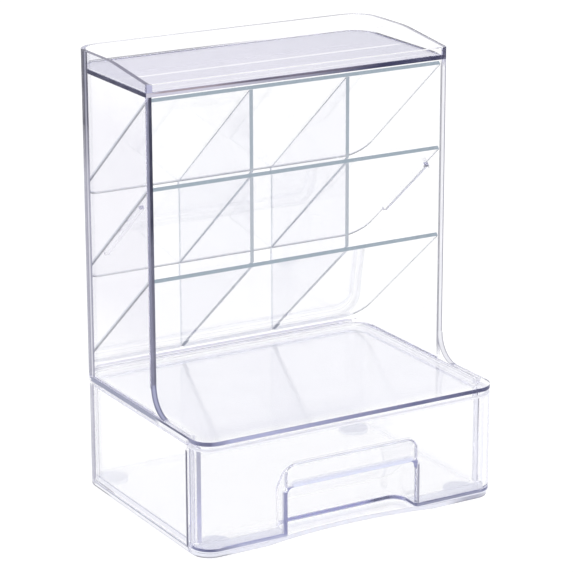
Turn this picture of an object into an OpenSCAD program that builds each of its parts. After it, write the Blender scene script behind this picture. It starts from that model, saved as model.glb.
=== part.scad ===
// Clear drawer organizer: a rack of slanted pen pockets under a shallow tray, over a pull-out drawer.
// The front faces -Y, the width lies along X, and the feet stand on z = 0 under the middle of the case.

/* [Case] */
// Width of the case
case_w = 170; // [150:1:200]
// Depth of the case, from the front of the deck to the back wall
case_d = 130; // [120:1:150]
// Height of the case, from the table to the top of the rim
case_h = 230; // [215:1:250]
// Thickness of the case's walls
wall = 3; // [2.2:0.1:3.4]
// Thickness of the tray's floor and of the deck
slab = 2.2; // [1.6:0.1:3]
// Outer radius of the upright rear corners
rear_r = 14; // [8:1:18]
// Radius of the deck's front corners, and of the drawer's
front_r = 10; // [7:1:14]
// Rounding of the front edges of the side walls
edge_r = 1; // [0.5:0.1:1.4]

/* [Rack] */
// Depth of the rack's side walls, from the back
rack_d = 79.5; // [72:0.5:88]
// Height of the deck's top above the table
deck_h = 61.6; // [56:0.1:68]
// Radius of the flare where each side wall's front edge runs out onto the deck
flare_r = 14; // [8:1:18]
// Radius of the fillet between the walls and the deck, inside the rack
foot_fillet = 1.2; // [0.8:0.1:2]

/* [Tray] */
// Height of the rim above the tray's floor, at the back
rim_h = 8.4; // [6:0.1:12]
// Height of the lip above the tray's floor, at the front
lip_h = 3.6; // [2:0.1:5]
// Thickness of the rim and of the front lip
rim_t = 2.4; // [1.8:0.1:2.8]
// How much higher the side rims end than the front lip
rim_step = 0.4; // [0.2:0.1:1]
// Depth of the level part of the rim, from the back
rim_level = 42; // [30:1:55]
// Radius of the bend where the rim starts to slope down
rim_bend_r = 80; // [40:5:120]

/* [Shelves] */
// Slope of the shelves, down towards the back
shelf_angle = 40; // [36:1:44]
// Thickness of the shelf and divider sheets
sheet = 2; // [1.5:0.1:2.5]
// Gap between the tray's floor and the top shelf's front edge
top_gap = 1.2; // [0.6:0.1:3]
// Height of the lower shelf's back edge above the deck
lower_gap = 2.6; // [1.6:0.1:6]
// The upper row's share of the height between the top shelf and the lower one
upper_share = 0.489; // [0.4:0.001:0.6]
// Setback of the sheets' front edges behind the side walls' edges
setback = 1.2; // [0.5:0.1:4]
// Fit of the sheets against the walls and in each other's slots
fit = 0.1; // [0.05:0.05:0.2]
// Length of the ribs that carry the middle shelf
rib_l = 51; // [30:1:60]
// Distance from the middle shelf's front edge to the ribs, along the slope
rib_start = 14; // [8:1:24]
// How far those ribs stand out from the side walls
rib_out = 2.6; // [1.5:0.1:4]
// Thickness of those ribs
rib_t = 2; // [1.5:0.1:3]
// Length of the tabs at the back of the dividers' bottom edges
tab_l = 7; // [4:0.5:9]

/* [Base] */
// Height of the seam between the rack and the base, below the deck's top
seam_drop = 3.5; // [3:0.1:5]
// Width of the seam
seam = 0.15; // [0.1:0.05:0.3]
// How far the base stands in from the rack's outline
base_inset = 0.3; // [0.1:0.1:1]
// Thickness of the base's floor
base_floor = 2.2; // [1.6:0.1:3]
// Distance from the front to the front ends of the base's side walls
side_end = 15; // [11:0.5:18]
// How far the base's floor stands back from the front
floor_back = 1.2; // [0.5:0.1:2]
// Width of the shallow finger notch in the floor's front edge
notch_w = 96; // [80:1:110]
// Depth of that notch
notch_d = 4.8; // [2:0.1:6]
// Depth of the locating lip that reaches down inside the base's walls
locate_d = 1.3; // [0.8:0.1:1.4]
// Thickness of that locating lip
locate_t = 1.5; // [1:0.1:2]

/* [Drawer] */
// Running gap between the drawer and the case
run = 0.6; // [0.4:0.1:1]
// Thickness of the drawer's front panel
front_t = 2.5; // [2:0.1:3]
// Thickness of the drawer's sides, back and floor
drawer_t = 2.2; // [1.6:0.1:2.6]
// Gap between the top of the drawer's front and the deck
top_run = 1; // [0.4:0.1:1.5]
// How much lower the drawer's sides and back are than its front
side_drop = 1.6; // [1:0.1:6]
// Gap behind the drawer
back_run = 2; // [1:0.5:6]
// Thickness of the web that joins the wrapped front to each side
web_t = 2.4; // [1.8:0.1:3]
// Gap between the wrapped front's edges and the base's side walls
wrap_gap = 0.8; // [0.5:0.1:1.5]

/* [Pull] */
// Width of the finger opening
pull_w = 74; // [60:1:90]
// Height of the finger opening above the table
pull_h = 29.5; // [26:0.5:33]
// Radius of the opening's top corners
pull_r = 3; // [2:0.5:5]
// Height of the hood's roof above the table, inside
hood_h = 41; // [38:0.5:44]
// Depth of the hood, inside, from the drawer's front face
hood_d = 17; // [14:0.5:22]
// Height above the table at which the hood's roof meets its back
hood_knee = 17; // [12:0.5:24]
// Thickness of the hood
hood_t = 1; // [0.8:0.1:2]
// Radius of the hood's upright corners, inside
hood_r = 7; // [4:0.5:9]
// Radius of the hood's top corners, inside
hood_top_r = 5; // [2:0.5:6]
// Rounding of the opening's outer edge
bull_r = 1.6; // [1:0.1:2]

/* [Feet] */
// Diameter of a foot
foot_dia = 16; // [12:1:20]
// Height of a foot below the base
foot_h = 2; // [1.5:0.1:3]
// Distance from the case's sides, front and back to a foot's middle
foot_in = 14; // [12:0.5:20]
// Chamfer round a foot's bottom
foot_cham = 0.5; // [0.3:0.1:0.8]

/* [Hidden] */
$fn = 96;
// Named overrun for all cuts
over = 1;
back_y = case_d / 2;
front_y = -case_d / 2;
rack_y = back_y - rack_d;
tray_z = case_h - rim_h;
lip_z = tray_z + lip_h;
deck_under = deck_h - slab;
seam_z = deck_h - seam_drop;
inner_w = case_w - 2 * wall;
wall_r = rear_r - wall;
bend_y = back_y - rim_level;
rim_front_z = lip_z + rim_step;
rim_angle = atan((case_h - rim_front_z) / (bend_y - rack_y));
rim_tangent = rim_bend_r * tan(rim_angle / 2);
// Front edges of the sheets, and heights of the shelves' upper front edges
sheet_y = rack_y + setback;
top_z = tray_z - slab - top_gap;
shelf_run = back_y - wall - fit - sheet_y;
shelf_v = sheet / cos(shelf_angle);
lower_z = deck_h + lower_gap + shelf_v + (shelf_run - sheet * sin(shelf_angle)) * tan(shelf_angle);
middle_z = top_z - upper_share * (top_z - lower_z);
divider_x = inner_w / 6;
// The base and the drawer
base_z = foot_h;
base_top = seam_z - seam;
wall_front = front_y + side_end;
drawer_z = base_z + base_floor + run;
drawer_top = seam_z - top_run;
drawer_side_top = drawer_top - side_drop;
drawer_w = case_w - 2 * (base_inset + wall + run);
drawer_back = back_y - base_inset - wall - back_run;
wrap_y = wall_front - wrap_gap;
drawer_r = wall_r - base_inset - run;
notch_r = (notch_w * notch_w / 4 + notch_d * notch_d) / (2 * notch_d);
case_tint = [0.90, 0.90, 0.97, 0.35];
sheet_tint = [0.72, 0.80, 0.84, 0.45];
foot_tint = [0.82, 0.84, 0.87, 0.85];

// A plan outline centred on X, with its own radius for the front corners and for the rear ones.
module plan(w, front, back, fr, br) {
    translate([-w / 2, front + fr]) square([w, back - front - fr - br]);
    translate([-w / 2 + fr, front]) square([w - 2 * fr, back - front - br]);
    translate([-w / 2 + br, front + fr]) square([w - 2 * br, back - front - fr]);
    for (side = [-1, 1]) {
        if (fr > 0) translate([side * (w / 2 - fr), front + fr]) circle(fr);
        if (br > 0) translate([side * (w / 2 - br), back - br]) circle(br);
    }
}

// A plan outline raised from one height to another.
module slab_of(z0, z1) {
    translate([0, 0, z0]) linear_extrude(z1 - z0) children();
}

// A side view, drawn in Y and Z, carried across a width centred on x.
module across(w, x = 0) {
    translate([x - w / 2, 0, 0]) rotate([90, 0, 90]) linear_extrude(w) children();
}

// A front view, drawn in X and Z, carried from one depth to another.
module through(y0, y1) {
    translate([0, y1, 0]) rotate([90, 0, 0]) linear_extrude(y1 - y0) children();
}

// The case's outline round the rack, and the clear space between its walls.
module rack_plan() {
    plan(case_w, rack_y, back_y, edge_r, rear_r);
}

module inner_plan(gap = 0) {
    plan(inner_w - 2 * gap, front_y - over, back_y - wall - gap, 0, wall_r - gap);
}

// Side view of all that lies under the rim: level at the back, a soft bend, then a slope to the lip.
module under_rim() {
    bend_c = [bend_y + rim_tangent, case_h - rim_bend_r];
    slope_y = bend_y - rim_tangent * cos(rim_angle);
    slope_z = case_h - rim_tangent * sin(rim_angle);
    polygon([[back_y + over, 0], [back_y + over, case_h], [bend_c[0], case_h], [slope_y, slope_z],
             [rack_y - over, rim_front_z - over * tan(rim_angle)], [rack_y - over, 0]]);
    intersection() {
        translate(bend_c) circle(rim_bend_r, $fn = 360);
        polygon([bend_c, [bend_c[0], case_h + over],
                 [bend_c[0] - (rim_bend_r + over) * tan(rim_angle), case_h + over], [slope_y, slope_z]]);
    }
}

// The quarter fillet's section, drawn from the corner that it fills.
module fillet_section(r) {
    difference() {
        translate([-over / 2, -over / 2]) square(r + over / 2);
        translate([r, r]) circle(r);
    }
}

// The fillet that runs round the foot of the rack's walls, inside.
module wall_fillet() {
    along = wall_r;
    for (side = [-1, 1]) {
        // Along each side wall
        translate([side * inner_w / 2, rack_y, deck_h]) mirror([side > 0 ? 1 : 0, 0, 0])
            translate([0, rack_d - wall - along, 0]) rotate([90, 0, 0])
                linear_extrude(rack_d - wall - along) fillet_section(foot_fillet);
        // Round each rear corner
        translate([side * (inner_w / 2 - wall_r), back_y - wall - wall_r, deck_h])
            rotate([0, 0, side > 0 ? 0 : 90]) rotate_extrude(angle = 90)
                translate([wall_r, 0]) mirror([1, 0]) fillet_section(foot_fillet);
    }
    // Along the back wall
    translate([0, back_y - wall, deck_h]) rotate([0, 0, -90])
        translate([0, -(inner_w / 2 - wall_r), 0]) rotate([90, 0, 0])
            mirror([0, 0, 1]) linear_extrude(inner_w - 2 * wall_r) fillet_section(foot_fillet);
}

// One side wall's flare: the corner below a quarter circle, from the wall's edge out onto the deck.
module flare() {
    difference() {
        translate([rack_y - flare_r, deck_h - slab / 2]) square([flare_r + wall, flare_r + slab / 2]);
        translate([rack_y - flare_r, deck_h + flare_r]) circle(flare_r);
        translate([rack_y, deck_h + flare_r - over]) square([wall + over, 2 * over]);
    }
}

// A sheet along the shelf's slope, drawn as a side view: its upper front edge is at [sheet_y, z].
module slope_view(z, below, above, from = 0, to = 0) {
    reach = to > 0 ? to : (shelf_run + rear_r) / cos(shelf_angle);
    translate([sheet_y + sheet * sin(shelf_angle), z]) rotate(-shelf_angle)
        translate([from, -below]) square([reach - from, below + above]);
}

// The ribs on the side walls that the middle shelf rests on.
module shelf_ribs() {
    for (side = [-1, 1])
        across(rib_out + wall / 2, side * (inner_w / 2 - rib_out / 2 + wall / 4))
            slope_view(middle_z, sheet + fit + rib_t, -sheet - fit, rib_start, rib_start + rib_l);
}

module rack_shell() color(case_tint) {
    // The walls, the tray's floor and its front lip, all cut to the rim's line
    intersection() {
        union() {
            slab_of(deck_h - slab / 2, tray_z) difference() {
                rack_plan();
                inner_plan();
            }
            slab_of(tray_z - slab, tray_z) rack_plan();
            slab_of(tray_z - slab / 2, case_h) difference() {
                rack_plan();
                inner_plan(rim_t - wall);
            }
            slab_of(tray_z - slab / 2, lip_z) intersection() {
                rack_plan();
                translate([-case_w / 2, rack_y]) square([case_w, rim_t]);
            }
        }
        across(case_w + 2 * over) under_rim();
    }
    // The flares at the foot of the side walls' front edges
    for (side = [-1, 1]) across(wall, side * (case_w - wall) / 2) flare();
    wall_fillet();
    shelf_ribs();
    // The deck, its skirt round the sides and back, and the lip that locates it inside the base
    slab_of(deck_under, deck_h) plan(case_w, front_y, back_y, front_r, rear_r);
    slab_of(seam_z, deck_under + slab / 2) difference() {
        plan(case_w, wall_front, back_y, 0, rear_r);
        plan(inner_w, wall_front - over, back_y - wall, 0, wall_r);
    }
    slab_of(seam_z - locate_d, deck_under + slab / 2) difference() {
        locate_w = inner_w - 2 * (base_inset + fit);
        locate_back = back_y - wall - base_inset - fit;
        locate_r = wall_r - base_inset - fit;
        plan(locate_w, wall_front, locate_back, 0, locate_r);
        plan(locate_w - 2 * locate_t, wall_front - over, locate_back - locate_t, 0, locate_r - locate_t);
    }
}

module base_housing() color(case_tint) {
    base_w = case_w - 2 * base_inset;
    base_back = back_y - base_inset;
    base_r = rear_r - base_inset;
    slab_of(base_z, base_z + base_floor) difference() {
        plan(base_w, front_y + floor_back, base_back, front_r - base_inset, base_r);
        translate([0, front_y + floor_back + notch_d - notch_r]) circle(notch_r, $fn = 360);
    }
    slab_of(base_z + base_floor / 2, base_top) difference() {
        plan(base_w, wall_front, base_back, 0, base_r);
        plan(base_w - 2 * wall, wall_front - over, base_back - wall, 0, base_r - wall);
    }
}

// Front view of the finger opening, open at the bottom.
module pull_view() {
    translate([-pull_w / 2, 0]) square([pull_w, pull_h - pull_r]);
    translate([-pull_w / 2 + pull_r, 0]) square([pull_w - 2 * pull_r, pull_h]);
    for (side = [-1, 1]) translate([side * (pull_w / 2 - pull_r), pull_h - pull_r]) circle(pull_r);
}

// What the rounded outer edge of the opening takes off the panel: both legs, both corners, the top.
module opening_rounding() {
    leg = pull_h - pull_r;
    for (side = [-1, 1]) translate([0, front_y, 0]) mirror([side > 0 ? 0 : 1, 0, 0]) {
        translate([pull_w / 2, 0, 0]) linear_extrude(leg) fillet_section(bull_r);
        translate([pull_w / 2 - pull_r, 0, leg]) rotate([90, 0, 0]) mirror([0, 0, 1])
            rotate_extrude(angle = 90) translate([pull_r, 0]) fillet_section(bull_r);
        translate([0, 0, pull_h]) rotate([0, 90, 0]) linear_extrude(pull_w / 2 - pull_r)
            mirror([1, 0]) fillet_section(bull_r);
    }
}

// The hood behind the opening: its space when t is 0, and its outside when t is its thickness.
module hood_form(t, bottom) {
    deep = front_y + hood_d + t;
    start = front_y + front_t;
    roof = hood_h + t;
    knee = hood_knee + t;
    w = pull_w + 2 * t;
    r = hood_top_r + t;
    intersection() {
        slab_of(bottom, roof) plan(w, start - (t > 0 ? front_t / 2 : over + front_t), deep, 0, hood_r + t);
        across(w) polygon([[front_y - over, bottom], [front_y - over, roof], [start, roof],
                           [deep, knee], [deep, bottom]]);
        through(front_y - over, deep) {
            translate([-w / 2, bottom]) square([w, roof - bottom - r]);
            translate([-w / 2 + r, bottom]) square([w - 2 * r, roof - bottom]);
            for (side = [-1, 1]) translate([side * (w / 2 - r), roof - r]) circle(r);
        }
    }
}

module drawer() color(case_tint) {
    box_front = wrap_y - web_t;
    difference() {
        union() {
            // The floor, wide under the wrapped front and narrow between the base's walls
            slab_of(drawer_z, drawer_z + drawer_t) {
                intersection() {
                    plan(case_w, front_y, back_y, front_r, rear_r);
                    translate([-case_w / 2, front_y]) square([case_w, wrap_y - front_y]);
                }
                plan(drawer_w, box_front, drawer_back, 0, drawer_r);
            }
            // The front panel, wrapped round both corners, and the webs that tie it to the sides
            slab_of(drawer_z + drawer_t / 2, drawer_top) difference() {
                intersection() {
                    plan(case_w, front_y, back_y, front_r, rear_r);
                    translate([-case_w / 2, front_y]) square([case_w, wrap_y - front_y]);
                }
                plan(case_w - 2 * front_t, front_y + front_t, box_front, front_r - front_t, 0);
                translate([-drawer_w / 2 + drawer_t, box_front - over])
                    square([drawer_w - 2 * drawer_t, web_t + 2 * over]);
            }
            // The sides and the back
            slab_of(drawer_z + drawer_t / 2, drawer_side_top) difference() {
                plan(drawer_w, box_front, drawer_back, 0, drawer_r);
                plan(drawer_w - 2 * drawer_t, box_front - over, drawer_back - drawer_t, 0,
                     drawer_r - drawer_t);
            }
            hood_form(hood_t, drawer_z);
        }
        // The hood's space stops at the panel's back; the opening goes through the panel below it
        intersection() {
            hood_form(0, drawer_z - over);
            translate([-case_w / 2, front_y + front_t, 0]) cube([case_w, case_d, case_h]);
        }
        through(front_y - over, front_y + front_t + over / 2) pull_view();
        opening_rounding();
    }
}

// A shelf: a sheet on the slope, trimmed to the space between the walls.
module shelf(z) {
    intersection() {
        across(inner_w) slope_view(z, sheet, 0);
        slab_of(0, case_h) inner_plan(fit);
    }
}

// Half of the slope's length, where the middle shelf and the dividers lap each other.
function lap_at() = (shelf_run / cos(shelf_angle)) / 2;

module top_shelf() color(sheet_tint) shelf(top_z);

module middle_shelf() color(sheet_tint) difference() {
    shelf(middle_z);
    for (side = [-1, 1]) across(sheet + 2 * fit, side * divider_x)
        slope_view(middle_z, sheet + over, over, lap_at() - fit);
}

module lower_shelf() color(sheet_tint) difference() {
    shelf(lower_z);
    for (side = [-1, 1]) across(sheet + 2 * fit, side * divider_x)
        tab_view(fit, sheet + over);
}

// The tab at the back of a divider's bottom edge, which slides into a slot in the lower shelf.
module tab_view(gap, below) {
    end = (shelf_run - sheet * sin(shelf_angle)) / cos(shelf_angle);
    slope_view(lower_z, below, sheet / 2, end - tab_l - gap, end + (gap > 0 ? 2 * sheet : 0));
}

// Height of a shelf's upper face at depth y, for the shelf whose upper front edge is at z.
function face_z(z, y) = z - (y - sheet_y - sheet * sin(shelf_angle)) * tan(shelf_angle);

// A divider runs from the lower shelf to the top one, and the middle shelf's front half slides
// into its slot. Its tabs go down into the lower shelf.
module divider(x) {
    end_y = sheet_y + shelf_run;
    under = shelf_v + fit;
    across(sheet, x) difference() {
        union() {
            polygon([[sheet_y, face_z(lower_z, sheet_y)], [end_y, face_z(lower_z, end_y)],
                     [end_y, face_z(top_z, end_y) - under], [sheet_y, face_z(top_z, sheet_y) - under]]);
            intersection() {
                tab_view(0, sheet);
                translate([sheet_y, 0]) square([shelf_run, case_h]);
            }
        }
        slope_view(middle_z, sheet + fit, fit, -sheet - over, lap_at());
    }
}

module left_divider() color(sheet_tint) divider(-divider_x);
module right_divider() color(sheet_tint) divider(divider_x);

// A soft round foot, chamfered at the bottom.
module foot(x, y) {
    r = foot_dia / 2;
    translate([x, y, 0]) rotate_extrude()
        polygon([[0, 0], [r - foot_cham, 0], [r, foot_cham], [r, foot_h], [0, foot_h]]);
}

module front_left_foot() color(foot_tint) foot(-case_w / 2 + foot_in, front_y + foot_in);
module front_right_foot() color(foot_tint) foot(case_w / 2 - foot_in, front_y + foot_in);
module rear_left_foot() color(foot_tint) foot(-case_w / 2 + foot_in, back_y - foot_in);
module rear_right_foot() color(foot_tint) foot(case_w / 2 - foot_in, back_y - foot_in);

rack_shell();
base_housing();
drawer();
top_shelf();
middle_shelf();
lower_shelf();
left_divider();
right_divider();
front_left_foot();
front_right_foot();
rear_left_foot();
rear_right_foot();
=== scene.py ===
import math
from collections import namedtuple

import bpy
import numpy as np
from mathutils import Matrix, Vector


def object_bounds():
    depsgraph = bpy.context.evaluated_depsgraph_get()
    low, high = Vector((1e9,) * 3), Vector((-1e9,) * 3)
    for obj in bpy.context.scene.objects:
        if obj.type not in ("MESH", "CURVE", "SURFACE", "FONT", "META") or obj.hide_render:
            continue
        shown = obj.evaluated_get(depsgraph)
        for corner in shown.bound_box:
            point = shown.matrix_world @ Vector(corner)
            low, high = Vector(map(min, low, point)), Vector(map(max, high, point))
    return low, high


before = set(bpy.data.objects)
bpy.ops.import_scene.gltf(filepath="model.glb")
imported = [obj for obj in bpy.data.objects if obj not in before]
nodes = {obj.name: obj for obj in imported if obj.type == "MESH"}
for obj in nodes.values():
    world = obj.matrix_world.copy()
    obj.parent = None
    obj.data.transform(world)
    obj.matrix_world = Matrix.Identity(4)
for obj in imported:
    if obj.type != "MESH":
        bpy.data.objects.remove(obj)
cad_low, cad_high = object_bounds()


# The camera
# A long lens some 1.3 metres away, to the left of the organizer and a little above it.
# The place and the turn come from the photograph's own lines.
CAMERA_AT = Vector((-0.6448, -1.1008, 0.5027))
CAMERA_AZIMUTH = math.radians(-30.36)
CAMERA_ELEVATION = math.radians(17.13)
CAMERA_ROLL = math.radians(-0.12)
LENS_PIXELS = 2656.2
PICTURE_WIDTH = 573.0
SENSOR_WIDTH = 36.0
NEAR_LIMIT = 0.05
FAR_LIMIT = 30.0


def camera_axes(azimuth, elevation, roll):
    """Right, up and back of a camera that looks at the object: back points from the object to the
    camera, right is level, up is back cross right, and the roll turns right towards up."""
    back = Vector((math.sin(azimuth) * math.cos(elevation),
                   -math.cos(azimuth) * math.cos(elevation), math.sin(elevation)))
    right = Vector((math.cos(azimuth), math.sin(azimuth), 0.0))
    up = back.cross(right)
    turned_right = right * math.cos(roll) + up * math.sin(roll)
    turned_up = up * math.cos(roll) - right * math.sin(roll)
    return turned_right, turned_up, back


camera_data = bpy.data.cameras.new("camera")
camera_data.sensor_width = SENSOR_WIDTH
camera_data.lens = LENS_PIXELS * SENSOR_WIDTH / PICTURE_WIDTH
camera_data.clip_start = NEAR_LIMIT
camera_data.clip_end = FAR_LIMIT
camera = bpy.data.objects.new("camera", camera_data)
right, up, back = camera_axes(CAMERA_AZIMUTH, CAMERA_ELEVATION, CAMERA_ROLL)
camera.matrix_world = Matrix.Translation(CAMERA_AT) @ Matrix((right, up, back)).transposed().to_4x4()
bpy.context.scene.collection.objects.link(camera)
bpy.context.scene.camera = camera


# The studio
# A white table and white walls all round, with a grey ceiling above: clear plastic on white shows
# only by its edges, which bend the darker ceiling into view.
WALL_WHITE = (1.0, 1.0, 1.0)
CEILING_GREY = (0.42, 0.41, 0.54)
WALL_TOP = math.sin(math.radians(30.0))
CEILING_FOOT = math.sin(math.radians(60.0))
TABLE_HALF = 4.0
TABLE_CHALK = 0.92
TABLE_GLOW = 1.3
GLOW_SHARE = 0.5
# How many faces of clear plastic a ray may cross, how often it may be mirrored inside one, and
# how many faces the table's light may cross on its way out
CROSSINGS = 32
MIRRORINGS = 16
LIGHT_CROSSINGS = 64

scene = bpy.context.scene
scene.view_settings.view_transform = "Standard"
scene.cycles.max_bounces = CROSSINGS
scene.cycles.transmission_bounces = CROSSINGS
scene.cycles.glossy_bounces = MIRRORINGS
scene.cycles.transparent_max_bounces = LIGHT_CROSSINGS

world = bpy.data.worlds.new("studio_room")
scene.world = world
world.use_nodes = True
tree = world.node_tree
tree.nodes.clear()
place = tree.nodes.new("ShaderNodeTexCoord")
split = tree.nodes.new("ShaderNodeSeparateXYZ")
tree.links.new(place.outputs["Generated"], split.inputs[0])
height = tree.nodes.new("ShaderNodeMapRange")
height.interpolation_type = "SMOOTHSTEP"
height.inputs["From Min"].default_value = WALL_TOP
height.inputs["From Max"].default_value = CEILING_FOOT
tree.links.new(split.outputs["Z"], height.inputs["Value"])
room = tree.nodes.new("ShaderNodeMix")
room.data_type = "RGBA"
room.inputs["A"].default_value = (*WALL_WHITE, 1.0)
room.inputs["B"].default_value = (*CEILING_GREY, 1.0)
tree.links.new(height.outputs["Result"], room.inputs["Factor"])
path = tree.nodes.new("ShaderNodeLightPath")
seen = tree.nodes.new("ShaderNodeMath")
seen.operation = "MAXIMUM"
tree.links.new(path.outputs["Is Glossy Ray"], seen.inputs[0])
tree.links.new(path.outputs["Is Transmission Ray"], seen.inputs[1])
shown = tree.nodes.new("ShaderNodeMix")
shown.data_type = "RGBA"
shown.inputs["A"].default_value = (*WALL_WHITE, 1.0)
tree.links.new(seen.outputs[0], shown.inputs["Factor"])
tree.links.new(room.outputs["Result"], shown.inputs["B"])
light = tree.nodes.new("ShaderNodeBackground")
tree.links.new(shown.outputs["Result"], light.inputs["Color"])
out = tree.nodes.new("ShaderNodeOutputWorld")
tree.links.new(light.outputs[0], out.inputs["Surface"])

table_mesh = bpy.data.meshes.new("table_top")
table_mesh.from_pydata(
    [(-TABLE_HALF, -TABLE_HALF, 0.0), (TABLE_HALF, -TABLE_HALF, 0.0),
     (TABLE_HALF, TABLE_HALF, 0.0), (-TABLE_HALF, TABLE_HALF, 0.0)], [], [(0, 1, 2, 3)])
table_top = bpy.data.objects.new("table_top", table_mesh)
scene.collection.objects.link(table_top)
table_paint = bpy.data.materials.new("white_table")
table_paint.use_nodes = True
tree = table_paint.node_tree
tree.nodes.clear()
chalk = tree.nodes.new("ShaderNodeBsdfDiffuse")
chalk.inputs["Color"].default_value = (TABLE_CHALK, TABLE_CHALK, TABLE_CHALK, 1.0)
glow = tree.nodes.new("ShaderNodeEmission")
glow.inputs["Strength"].default_value = TABLE_GLOW
half = tree.nodes.new("ShaderNodeMixShader")
half.inputs[0].default_value = GLOW_SHARE
tree.links.new(chalk.outputs[0], half.inputs[1])
tree.links.new(glow.outputs[0], half.inputs[2])
out = tree.nodes.new("ShaderNodeOutputMaterial")
tree.links.new(half.outputs[0], out.inputs["Surface"])
table_mesh.materials.append(table_paint)


# The upper moulding: the rack with its tray and deck
# One injection moulding in clear polystyrene, polished on every face. The stock has a lavender cast
# that only shows where light runs a long way inside it. The lavender and navy lines along the walls'
# cut edges are painted shade and reflection, laid on as zones of colour.
# Sizes and places are in millimetres, with the middle of the table's contact at zero.
MM = 0.001
SIDE = cad_high[0] / MM
BACK = cad_high[1] / MM
NOSE = cad_low[1] / MM
TOP = cad_high[2] / MM
WALL = 3.0
SLAB = 2.2
RACK_FRONT = BACK - 79.5
TRAY = TOP - 8.4
LIP = TRAY + 3.6
DECK = 61.6
FLARE = 14.0
WALL_FRONT = NOSE + 15.0


def new_group(name, takes, gives):
    """An empty node group with its named sockets: each input is a name, a kind and a first value,
    and each output is a name and a kind."""
    group = bpy.data.node_groups.new(name, "ShaderNodeTree")
    for title, kind, value in takes:
        socket = group.interface.new_socket(title, in_out="INPUT", socket_type="NodeSocket" + kind)
        socket.default_value = value
    for title, kind in gives:
        group.interface.new_socket(title, in_out="OUTPUT", socket_type="NodeSocket" + kind)
    return group, group.nodes.new("NodeGroupInput"), group.nodes.new("NodeGroupOutput")


def feed(tree, socket, value):
    """Gives an input a plain value, or joins it to the output that is handed over."""
    if isinstance(value, bpy.types.NodeSocket):
        tree.links.new(value, socket)
    elif value is not None:
        socket.default_value = value


def vector_step(tree, operation, first, second=None):
    """One vector operation on outputs or plain vectors."""
    step = tree.nodes.new("ShaderNodeVectorMath")
    step.operation = operation
    feed(tree, step.inputs[0], first)
    feed(tree, step.inputs[1], second)
    return step.outputs["Value" if operation == "DOT_PRODUCT" else "Vector"]


def number_step(tree, operation, first, second=None, clamp=False):
    """One operation on outputs or plain numbers."""
    step = tree.nodes.new("ShaderNodeMath")
    step.operation = operation
    step.use_clamp = clamp
    feed(tree, step.inputs[0], first)
    feed(tree, step.inputs[1], second)
    return step.outputs[0]


def ramp(tree, value, start, steepness):
    """(value - start) x steepness, held between 0 and 1."""
    return number_step(tree, "MULTIPLY", number_step(tree, "SUBTRACT", value, start), steepness, True)


# A face begins to count as looking along an axis at this cosine, and counts fully from 0.7 on
LOOKS_ALONG = 0.45
LOOKS_STEEPNESS = 4.0


def make_zone_group():
    """The mask of a soft-edged box: along each axis (half - |place - centre|) / soft + 1/2, held
    between 0 and 1, and the three multiplied. Where facing is 1, only the surface that looks along
    the axis counts."""
    group, takes, gives = new_group(
        "zone_mask",
        [("Place", "Vector", (0, 0, 0)), ("Normal", "Vector", (0, 0, 1)),
         ("Centre", "Vector", (0, 0, 0)), ("Half", "Vector", (1, 1, 1)),
         ("Soft", "Vector", (1, 1, 1)), ("Axis", "Vector", (0, 0, 1)), ("Facing", "Float", 0.0)],
        [("Mask", "Float")])
    away = vector_step(group, "ABSOLUTE", vector_step(
        group, "SUBTRACT", takes.outputs["Place"], takes.outputs["Centre"]))
    inside = vector_step(group, "DIVIDE", vector_step(
        group, "SUBTRACT", takes.outputs["Half"], away), takes.outputs["Soft"])
    inside = vector_step(group, "ADD", inside, (0.5, 0.5, 0.5))
    split = group.nodes.new("ShaderNodeSeparateXYZ")
    group.links.new(inside, split.inputs[0])
    sides = [number_step(group, "MULTIPLY", split.outputs[i], 1.0, True) for i in range(3)]
    box = number_step(group, "MULTIPLY", number_step(group, "MULTIPLY", sides[0], sides[1]), sides[2])
    turned = vector_step(group, "DOT_PRODUCT", takes.outputs["Normal"], takes.outputs["Axis"])
    turned = ramp(group, turned, LOOKS_ALONG, LOOKS_STEEPNESS)
    either = group.nodes.new("ShaderNodeMix")
    either.inputs["A"].default_value = 1.0
    group.links.new(takes.outputs["Facing"], either.inputs["Factor"])
    group.links.new(turned, either.inputs["B"])
    group.links.new(number_step(group, "MULTIPLY", box, either.outputs["Result"]), gives.inputs["Mask"])
    return group


# The marks in the polish: the scales are waves per metre, and the hairlines run one way, turned in
# radians, so that they lie aslant on every face
RIPPLE_SCALE = 26.0
CLOUD_SCALE = 60.0
CLOUD_DETAIL = 3.0
HAIR_TURN = (0.5, 0.9, 0.3)
HAIR_SCALES = (2200.0, 60.0, 900.0)
HAIR_DETAIL = 2.0
HAIR_FROM = 0.68
HAIR_STEEPNESS = 9.0
HAIR_DEPTH = 0.02
HAIR_HAZE = 0.25
WORN_FROM = 0.52
WORN_STEEPNESS = 2.5
WORN_HAZE = 0.04


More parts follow.
